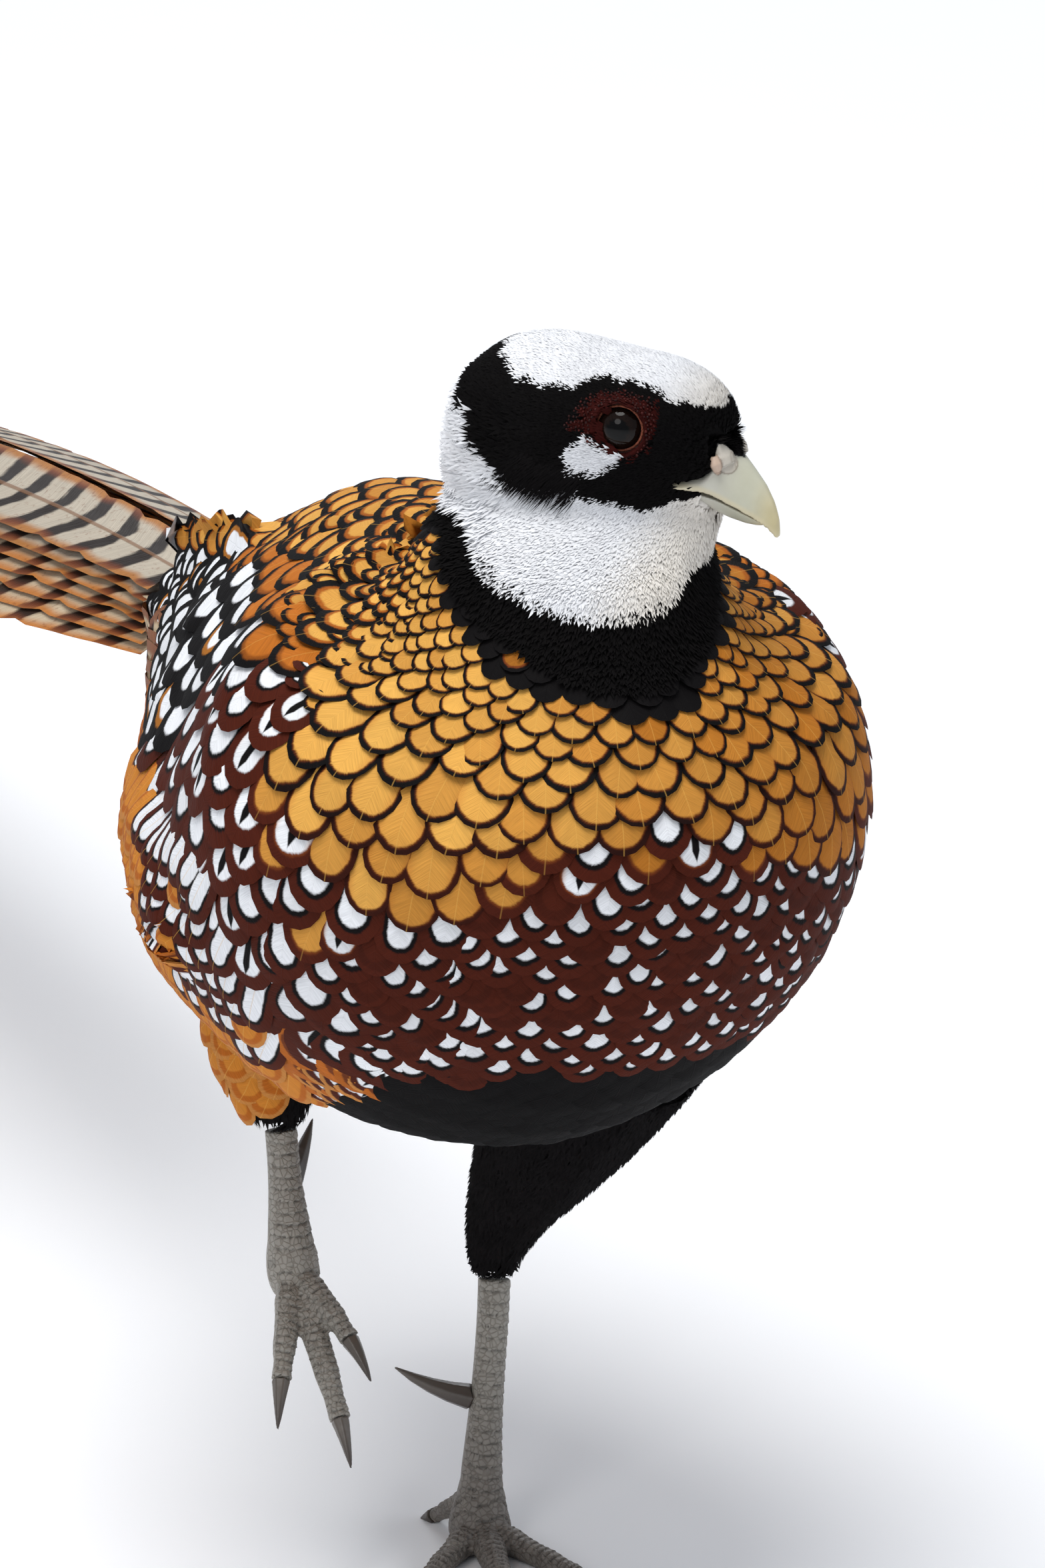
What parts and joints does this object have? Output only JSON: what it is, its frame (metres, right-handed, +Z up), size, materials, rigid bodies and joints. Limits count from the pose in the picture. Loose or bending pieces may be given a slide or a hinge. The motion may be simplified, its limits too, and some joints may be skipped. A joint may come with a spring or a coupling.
{
  "type": "reeves pheasant, still life-size model",
  "caption": "Adult male Reeves's pheasant stepping forward with one foot lifted, head turned to its left, its very long barred tail drooping to the floor.",
  "frame": {"origin": "the sole of the standing left foot, on the floor", "axes": "+Z up, the body faces -Y, the bird's right side is -X, the tail runs back along +Y"},
  "size_m": [0.18, 1.5681, 0.3546],
  "materials": {
    "gold_feather": "soft feather, golden, black edged",
    "collar_feather": "soft feather, white with black",
    "maroon_feather": "soft feather, chestnut and white",
    "black_feather": "soft feather, black",
    "tail_feather": "stiff feather, barred",
    "bill_horn": "smooth pale horn",
    "leg_skin": "scaly skin, grey-brown",
    "claw_horn": "dark horn",
    "eye": "wet, very glossy"
  },
  "bodies": {
    "root": {"torso": "gold_feather", "neck": "collar_feather", "head": "collar_feather", "bill_upper": "bill_horn", "bill_lower": "bill_horn", "eye_left": "eye", "eye_right": "eye", "wing_left": "maroon_feather", "wing_right": "maroon_feather", "tail": "tail_feather", "thigh_left": "black_feather", "thigh_right": "black_feather", "tarsus_left": "leg_skin", "tarsus_right": "leg_skin", "foot_left": "leg_skin", "foot_right": "leg_skin", "spur_left": "claw_horn", "spur_right": "claw_horn", "claw_left_outer": "claw_horn", "claw_left_middle": "claw_horn", "claw_left_inner": "claw_horn", "claw_left_hind": "claw_horn", "claw_right_outer": "claw_horn", "claw_right_middle": "claw_horn", "claw_right_inner": "claw_horn", "claw_right_hind": "claw_horn"}
  },
  "joints": []
}
